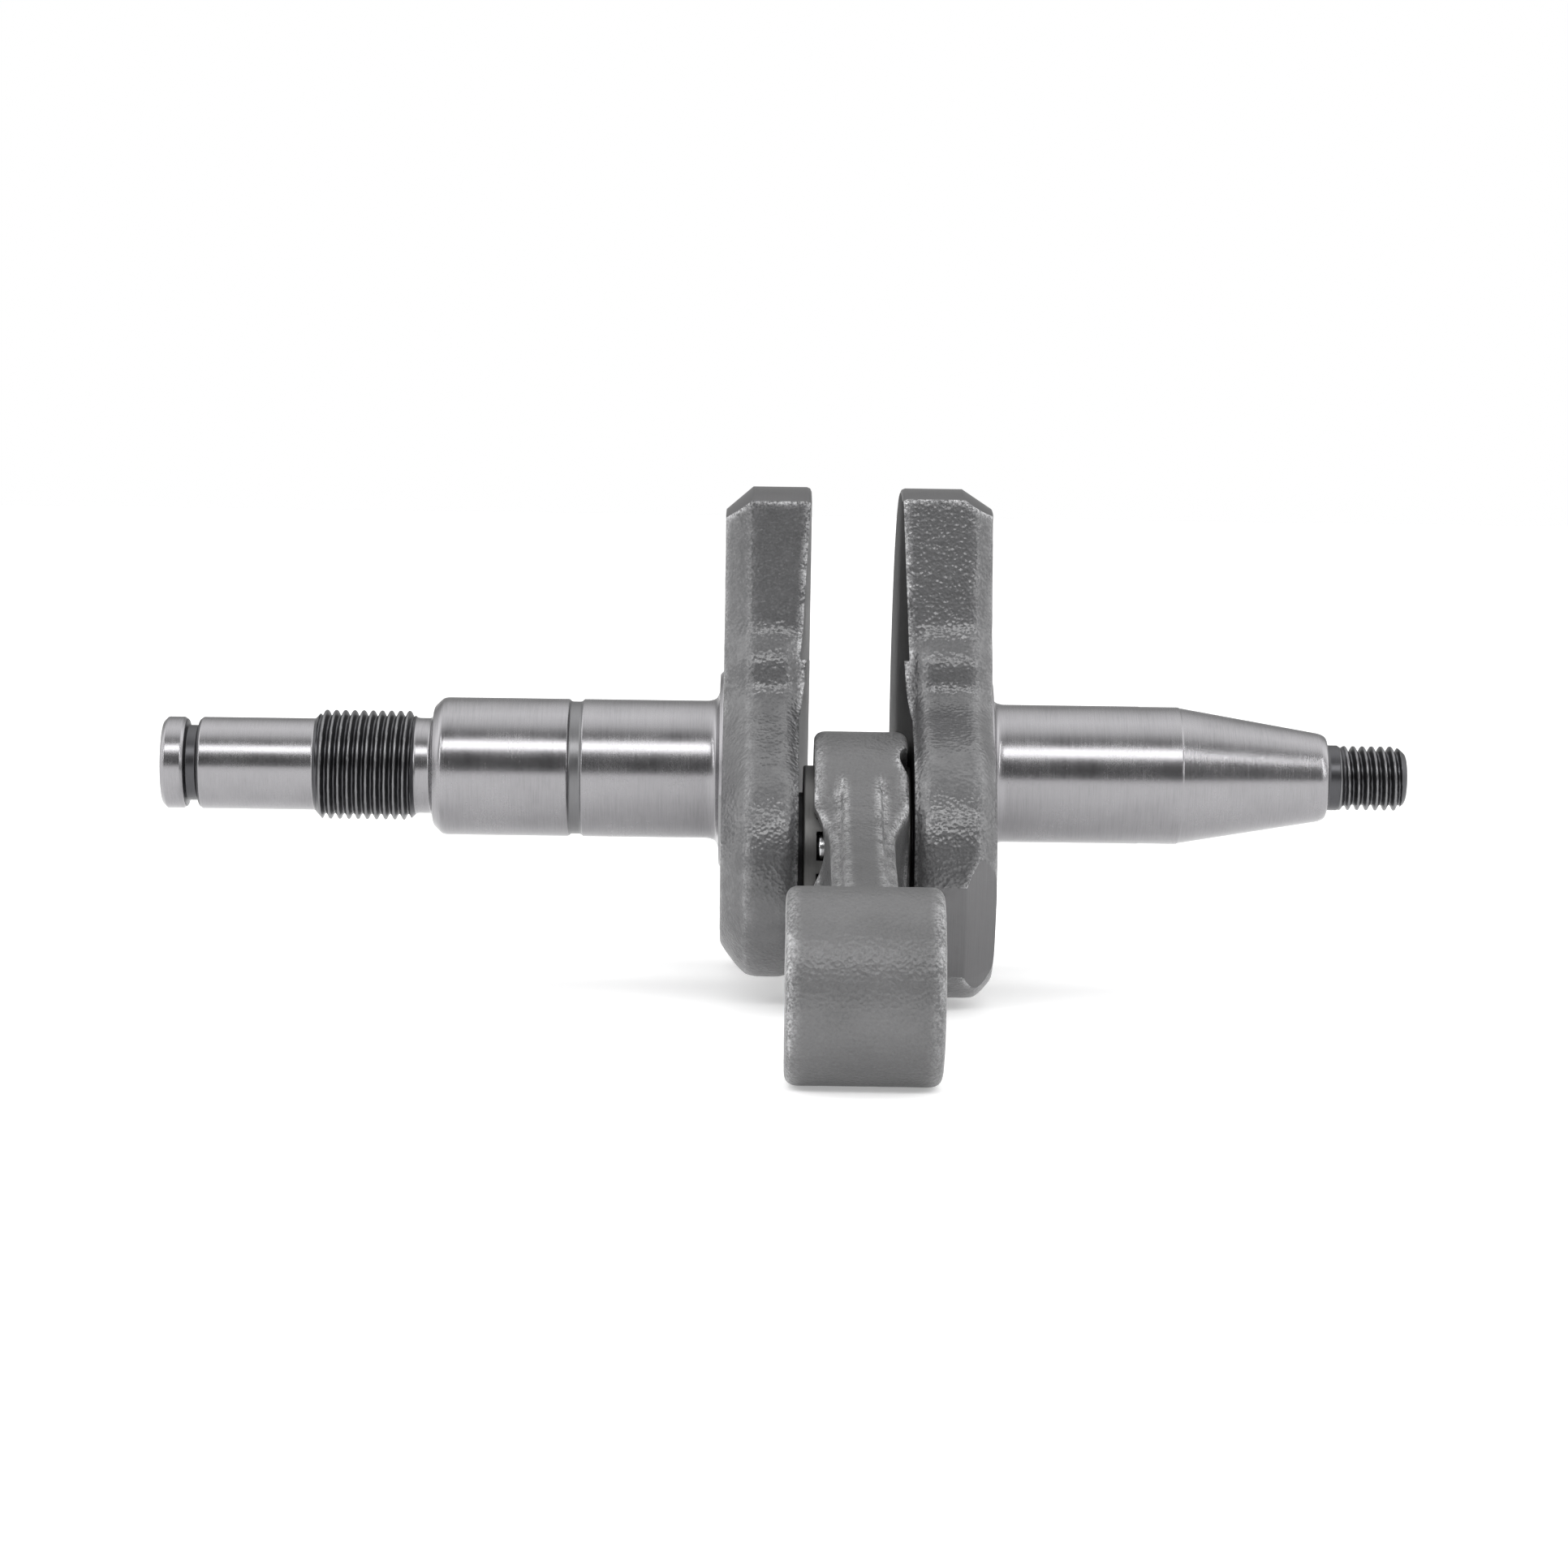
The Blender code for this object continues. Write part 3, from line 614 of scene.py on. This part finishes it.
def clutch_side():
    """Stub with ring groove, left-hand thread, neck, journal with a shallow groove, shoulder and web."""
    end = SHAFT_LOW
    face = CLUTCH_OUTER - 0.4
    profile = rounded([
        (end, 4.45, 0),
        (end, 4.55, 0.1),
        (end + 0.45, 5.0, 0.15),
        (2.15, 5.0, 0.1),
        (2.55, 4.72, 0.1),
        (2.7, 4.1, 0.15),
        (3.75, 4.1, 0.15),
        (3.9, 4.72, 0.1),
        (4.25, 5.0, 0.1),
        (16.35, 5.0, 0.15),
        (16.5, 5.05, 0.1),
        (17.3, CLUTCH_THREAD_RADIUS, 0.1),
        (26.8, CLUTCH_THREAD_RADIUS, 0.1),
        (27.4, 5.35, 0.15),
        (27.7, 5.2, 0.2),
        (29.2, 5.2, 0.35),
        (29.45, 6.5, 0.2),
        (30.35, 7.4, 0.5),
        (30.9, 7.5, 0.2),
        (44.1, 7.5, 0.12),
        (44.35, 7.22, 0.2),
        (45.45, 7.22, 0.2),
        (45.7, 7.5, 0.12),
        (59.3, 7.5, 0.3),
        (face - 0.35, 7.72, 0.4),
        (face, 8.7, 0.4),
        (face, 10.4, 0.08),
        (face + 0.4, 10.8, 0.12),
        (face + 1.0, 10.95, 0),
        (face + 3.0, 9.8, 0),
    ])
    stations = refined(profile, (16.4, 27.6), THREAD_STATION)
    cut = thread(16.4, 27.5, CLUTCH_THREAD_RADIUS, THREAD_DEPTH, -1)

    def slot_at(x, radius):
        # thread valleys and the ring groove's floor take the painted groove shade
        if 16.5 < x < 27.5:
            return GROOVE_SHADE if radius < 5.88 else CREST
        if 2.4 < x < 4.1 and radius < 4.9:
            return GROOVE_SHADE
        # painted shade: the journal's shallow groove takes the darker crest steel
        return CREST if 44.2 < x < 45.6 and radius < 7.42 else SHAFT

    shape = turned(stations, SIDES, radius_at=cut, slot_at=slot_at)
    shaft = make("clutch_side_forging", shape, CRANK_STEELS)
    blade = web(
        "clutch_web",
        outer=CLUTCH_OUTER,
        inner=CLUTCH_INNER,
        lobe_face=CLUTCH_LOBE_FACE,
        lobe_radius=CLUTCH_LOBE,
        rim=CLUTCH_RIM,
        bevels=(2.8, 3.6),
        lobe_draft=1.0,
        rim_chamfer=(2.9, 2.5),
        face_slot=FACED,
        seed=1,
    )
    combine(shaft, "UNION", blade)
    combine(shaft, "DIFFERENCE", pin_bore(), centre_drilling(end, 1, 1.6))
    shade(shaft)
    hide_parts("clutch_side_crank")
    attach(shaft, "crankshaft")


def keyway_cutter():
    """The disc of a Woodruff key, sunk into the taper on the side away from the crank pin."""
    radius, half, depth, middle = 5.0, 1.5, 2.0, 117.5
    surface = 7.4 - (7.4 - 4.75) / 15.5 * (middle - 110.4)
    centre = (middle, -(surface - depth + radius))
    corners = [on_circle(TAU * i / 72, radius, centre) for i in range(72)]
    shape = lofted([[(x, y, z) for x, y in corners] for z in (-half, half)])
    return make("keyway", shape, CRANK_STEELS, FACED, CRANK_AXES)


def flywheel_side():
    """Web, shoulder, journal, relief, taper with a keyway and right-hand thread."""
    end = SHAFT_HIGH
    face = FLYWHEEL_OUTER + 0.4
    profile = rounded([
        (face - 3.0, 9.8, 0),
        (face - 1.0, 10.95, 0),
        (face - 0.4, 10.8, 0.12),
        (face, 10.4, 0.08),
        (face, 8.7, 0.4),
        (face + 0.35, 7.72, 0.4),
        (91.2, 7.5, 0.3),
        (106.0, 7.5, 0.1),
        (106.3, 7.47, 0.1),
        (110.35, 7.47, 0.1),
        (110.5, 7.38, 0.12),
        (125.75, 4.8, 0.3),
        (126.5, 4.45, 0.35),
        (126.5, 3.7, 0.1),
        (126.75, 3.55, 0.15),
        (127.75, 3.55, 0.1),
        (128.1, FLYWHEEL_THREAD_RADIUS, 0.1),
        (134.2, FLYWHEEL_THREAD_RADIUS, 0.2),
        (end - 0.12, 2.75, 0.3),
        (end, 2.4, 0.1),
        (end, 2.3, 0),
    ])
    stations = refined(profile, (127.8, end - 0.1), THREAD_STATION)
    cut = thread(127.8, end + 0.1, FLYWHEEL_THREAD_RADIUS, THREAD_DEPTH, 1, runout=1.0)

    def slot_at(x, radius):
        # thread valleys and the relief groove take the painted groove shade
        if x > 127.9:
            return GROOVE_SHADE if radius < 3.44 else CREST
        return GROOVE_SHADE if x > 126.45 and radius < 4.2 else SHAFT

    shape = turned(stations, SIDES, radius_at=cut, slot_at=slot_at)
    shaft = make("flywheel_side_forging", shape, CRANK_STEELS)
    blade = web(
        "flywheel_web",
        outer=FLYWHEEL_OUTER,
        inner=FLYWHEEL_INNER,
        lobe_face=FLYWHEEL_LOBE_FACE,
        lobe_radius=FLYWHEEL_LOBE,
        rim=FLYWHEEL_RIM,
        bevels=(1.8, 2.0),
        lobe_draft=1.4,
        rim_chamfer=(3.2, 2.1),
        # the flywheel web's lathe-cut inner faces take the painted shade
        face_slot=FACE_SHADE,
        seed=2,
    )
    combine(shaft, "UNION", blade)
    combine(shaft, "DIFFERENCE", pin_bore(), centre_drilling(end, -1, 1.1), keyway_cutter())
    shade(shaft)
    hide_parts("flywheel_side_crank")
    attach(shaft, "crankshaft")


def pin():
    """The pressed-in pin: ground ends, and a track between them painted near black as shade."""
    ground, track = 0, 1

    def slot_at(x, radius):
        # the track between the webs takes the painted shade
        return track if PIN_LOW + 1 < x < PIN_HIGH - 1 and radius > 6 else ground

    profile = rounded([
        (PIN_LOW, 6.2, 0),
        (PIN_LOW, 6.45, 0.1),
        (PIN_LOW + 0.5, PIN_RADIUS, 0.25),
        (PIN_HIGH - 0.5, PIN_RADIUS, 0.25),
        (PIN_HIGH, 6.45, 0.1),
        (PIN_HIGH, 6.2, 0),
    ])
    shape = turned(profile, 128, slot_at=slot_at)
    bmesh.ops.translate(shape, vec=(0.0, THROW, 0.0), verts=shape.verts)
    obj = make("ground_crank_pin", shape, (PIN_STEEL, PIN_SHADE_TRACK), None, CRANK_AXES)
    shade(obj)
    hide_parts("crank_pin")
    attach(obj, "crankshaft")


# ---------------------------------------------------------------- connecting rod
def shank_section(along):
    """The forged I-section at a distance from the crank pin."""
    taper = smoothstep(14.0, 50.0, along)
    height = 5.95 - 0.95 * taper
    blend, blend_end = 30.9, 24.8
    if along < blend_end:
        height += blend - math.sqrt(blend * blend - (blend_end - along) ** 2)
    height += 0.7 * smoothstep(49.0, 55.5, along)
    width = 3.3 - 0.1 * taper + 2.2 * smoothstep(49.5, 55.0, along) ** 2
    width += 1.9 * (1 - smoothstep(10.5, 19.0, along)) ** 2
    depth = 1.7 * smoothstep(16.0, 22.0, along) * (1 - smoothstep(45.5, 51.5, along)) + 0.03
    upper = [
        (RIDGE, height),
        (RIDGE + 0.3, height - 0.95),
        (width - 0.25, height - 1.2),
        (width, height - 1.6),
        (width, height - 2.6),
        (width - depth, height - 3.5),
    ]
    right = upper + [(x, -z) for x, z in reversed(upper)]
    left = [(-x, z) for x, z in reversed(right)]
    return [(x, along, z) for x, z in right + left]


def plain_disc(radius, half, edge, at=(0.0, 0.0)):
    """A disc along X with rounded edges, before its bore is cut."""
    profile = rounded([(-half, 0.4, 0), (-half, radius, edge), (half, radius, edge), (half, 0.4, 0)], 6)
    shape = turned(profile, 144)
    bmesh.ops.translate(shape, vec=(at[0], at[1], 0.0), verts=shape.verts)
    return shape


def bore_cutter(radius, half, chamfer, at):
    """A bore through an eye of the rod, with a chamfer at each side face."""
    profile = [
        (-half - 3, radius + chamfer + 3),
        (-half + chamfer, radius),
        (half - chamfer, radius),
        (half + 3, radius + chamfer + 3),
    ]
    shape = turned(profile, BORE_SIDES)
    bmesh.ops.translate(shape, vec=(at[0], at[1], 0.0), verts=shape.verts)
    return make("bore", shape, ROD_STEELS, BORED, ROD_AXES)


def slot_cutter(side, angle, width, depth):
    """An oil slot across the big end's side face: a groove with a round floor, at an angle above the rod."""
    radius = (width * width / 4 + depth * depth) / (2 * depth)
    middle = BIG_HALF - depth + radius
    corners = [on_circle(TAU * i / 96, radius, (middle, 0.0)) for i in range(96)]
    shape = lofted([[(x, y, z) for x, z in corners] for y in (8.5, 17.0)])
    if side < 0:
        bmesh.ops.scale(shape, vec=(-1, 1, 1), verts=shape.verts)
    turn = Matrix.Rotation(-math.radians(angle), 4, "X")
    bmesh.ops.transform(shape, matrix=turn, verts=shape.verts)
    return make("slot", shape, ROD_STEELS, SKIN, ROD_AXES)


def rod():
    """The forged rod: two eyes and the shank as one skin, then its ground side faces, bores and oil slots."""
    eye_at = (EYE.x - ROD_MIDDLE, ROD_LENGTH)
    body = bmesh.new()
    solids = [
        plain_disc(BIG_END, BIG_HALF + 0.1, 1.3),
        plain_disc(SMALL_END, SMALL_HALF, 1.25, eye_at),
        lofted([shank_section(7.4 + (ROD_LENGTH - 14.8) * i / 90) for i in range(91)]),
    ]
    for solid in solids:
        bmesh.ops.recalc_face_normals(solid, faces=solid.faces)
        mesh = bpy.data.meshes.new("solid")
        solid.to_mesh(mesh)
        solid.free()
        body.from_mesh(mesh)
    obj = make("forged_connecting_rod", body, ROD_STEELS, SKIN, ROD_AXES)
    forge(obj, 0.20, 2, 0.03, 3)
    for side in (-1, 1):
        face = block((BIG_HALF, -20.0, -20.0), (BIG_HALF + 4, 14.6, 20.0))
        if side < 0:
            bmesh.ops.scale(face, vec=(-1, 1, 1), verts=face.verts)
        combine(obj, "DIFFERENCE", make("face", face, ROD_STEELS, BORED, ROD_AXES))
    combine(obj, "DIFFERENCE", bore_cutter(BIG_BORE, BIG_HALF, 0.3, (0.0, 0.0)))
    combine(obj, "DIFFERENCE", bore_cutter(SMALL_BORE, SMALL_HALF, 0.35, eye_at))
    combine(obj, "DIFFERENCE", slot_cutter(-1, 16.5, 8.0, 1.1), slot_cutter(1, 64.0, 5.0, 0.9))
    shade(obj)
    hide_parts("connecting_rod")
    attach(obj, "connecting_rod")


# ---------------------------------------------------------------- needle bearing
def cage():
    low, high = CAGE_LOW, CAGE_HIGH
    inner, outer = CAGE_RADII
    profile = rounded([
        (low, inner + 0.1, 0),
        (low, outer - 0.1, 0.12),
        (low + 0.2, outer, 0.12),
        (high - 0.2, outer, 0.12),
        (high, outer - 0.1, 0.12),
        (high, inner + 0.1, 0),
        (high - 0.1, inner, 0),
        (low + 0.1, inner, 0),
    ], 3)
    shape = turned(profile, 168, closed=True)
    bmesh.ops.translate(shape, vec=(0.0, PIN.y, PIN.z), verts=shape.verts)
    obj = make("bearing_cage", shape, (CAGE_STEEL,), 0)
    middle = (low + high) / 2
    length, across = WINDOW_HALF
    for joint in frame["joints"]:
        if not joint["name"].startswith("needle_roller"):
            continue
        y, z = joint["pos_m"][1] / MM - PIN.y, joint["pos_m"][2] / MM - PIN.z
        angle = math.atan2(z, y)
        window = block((middle - length, 7.0, -across), (middle + length, 11.0, across))
        place = Matrix.Translation((0.0, PIN.y, PIN.z)) @ Matrix.Rotation(angle, 4, "X")
        combine(obj, "DIFFERENCE", make("window", window, (CAGE_STEEL,), 0, place))
    shade(obj)
    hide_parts("needle_cage")
    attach(obj, "needle_cage")


def rollers():
    for i in range(ROLLERS):
        node = f"needle_roller_{i + 1:02d}"
        low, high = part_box(node)
        centre = (low + high) / 2 / MM
        half = (high.x - low.x) / 2 / MM
        profile = rounded([
            (-half, 1.0, 0),
            (-half, 1.2, 0.1),
            (-half + 0.25, ROLLER_RADIUS, 0.2),
            (half - 0.25, ROLLER_RADIUS, 0.2),
            (half, 1.2, 0.1),
            (half, 1.0, 0),
        ], 4)
        place = Matrix.Translation(centre)
        obj = make(f"needle_{i + 1:02d}", turned(profile, 48), (ROLLER_STEEL,), 0, place)
        shade(obj)
        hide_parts(node)
        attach(obj, node)


# ---------------------------------------------------------------- stage, light and camera
def stage():
    """A pale floor that ends a little in front of the object."""
    size, front = 4.0, 0.27
    bpy.ops.mesh.primitive_plane_add(size=size, location=(0.07, size / 2 - front, FLOOR_Z))
    floor = bpy.context.object
    floor.name = "floor"
    material = bpy.data.materials.new("pale_floor")
    shader = Nodes(material).tree.nodes["Principled BSDF"]
    shader.inputs["Base Color"].default_value = (0.86, 0.86, 0.86, 1.0)
    shader.inputs["Roughness"].default_value = 0.9
    shader.inputs["Specular IOR Level"].default_value = 0.1
    shader.inputs["Emission Color"].default_value = (1.0, 1.0, 1.0, 1.0)
    shader.inputs["Emission Strength"].default_value = 0.32
    floor.data.materials.append(material)


def softbox(name, location, target, size, power):
    """An area light that faces the target."""
    data = bpy.data.lights.new(name, "AREA")
    data.shape = "RECTANGLE"
    data.size, data.size_y = size
    data.energy = power
    light = bpy.data.objects.new(name, data)
    bpy.context.scene.collection.objects.link(light)
    light.location = location
    light.rotation_euler = (Vector(target) - Vector(location)).to_track_quat("-Z", "Y").to_euler()


def lights():
    """A wide soft box above the camera, and a tall strip light to each side of it."""
    middle = Vector((0.0675, 0.0, 0.0))
    for name, turn, high, size, power in (
        ("front_box", 0.0, 40.0, (1.1, 0.28), 5.0),
        ("left_strip", -52.0, 26.0, (0.08, 0.8), 1.9),
        ("right_strip", 52.0, 26.0, (0.08, 0.8), 1.9),
    ):
        turn, high = math.radians(turn), math.radians(high)
        level = Vector((math.sin(turn), -math.cos(turn), 0.0)) * math.cos(high)
        place = middle + (level + Vector((0.0, 0.0, math.sin(high)))) * 1.1
        softbox(name, place, middle, size, power)


# Brightness of the room, by direction from level in front of the object (0), over the top, to level
# behind it (1)
SKY = (
    (0.0, 0.13),
    (0.20, 0.13),
    (0.34, 0.22),
    (0.44, 1.35),
    (0.56, 1.75),
    (0.68, 1.35),
    (0.80, 0.60),
    (0.88, 0.35),
    (1.0, 0.75),
)


def room():
    """The room that the steel mirrors: dark towards the camera, bright overhead, paler at the sides and
    behind. The camera itself sees plain white."""
    world = bpy.data.worlds.new("studio")
    bpy.context.scene.world = world
    n = Nodes(world)
    coordinates = n.add("ShaderNodeTexCoord").outputs["Generated"]
    split = n.add("ShaderNodeSeparateXYZ", Vector=coordinates)
    height, back = split.outputs["Z"], split.outputs["Y"]
    turn = n.math("DIVIDE", n.math("ARCTAN2", height, n.math("MULTIPLY", back, -1.0)), math.pi)
    arch = n.ramp(turn, *SKY)
    aside = n.math("ABSOLUTE", split.outputs["X"])
    walls = n.add("ShaderNodeMapRange", _0=aside, _1=0.45, _2=0.95, _3=0.0, _4=0.75).outputs[0]
    light = n.math("ADD", arch, walls)
    seen = n.add("ShaderNodeLightPath").outputs["Is Camera Ray"]
    strength = n.math("MULTIPLY_ADD", n.math("SUBTRACT", 1.0, light), seen, light)
    n.set(n.tree.nodes["Background"], "Color", (1.0, 1.0, 1.0, 1.0))
    n.set(n.tree.nodes["Background"], "Strength", strength)
    bpy.context.scene.view_settings.view_transform = "Standard"


def camera():
    """A long lens, nearly level with the shaft and square to it."""
    data = bpy.data.cameras.new("camera")
    obj = bpy.data.objects.new("camera", data)
    bpy.context.scene.collection.objects.link(obj)
    distance = 0.478
    elevation = math.radians(4.1)
    roll = math.radians(0.78)
    target = Vector((0.06585, 0.0, 0.0))
    back = Vector((0.0, -math.cos(elevation), math.sin(elevation)))
    obj.location = target + back * distance
    turn = (-back).to_track_quat("-Z", "Y").to_matrix().to_4x4() @ Matrix.Rotation(roll, 4, "Z")
    obj.rotation_euler = turn.to_euler()
    data.sensor_width = 36.0
    data.lens = 100.6
    data.shift_x = 0.0098
    data.shift_y = -0.0088
    data.clip_start = 0.01
    bpy.context.scene.camera = obj


camera()
clutch_side()
flywheel_side()
pin()
rod()
cage()
rollers()
stage()
lights()
room()
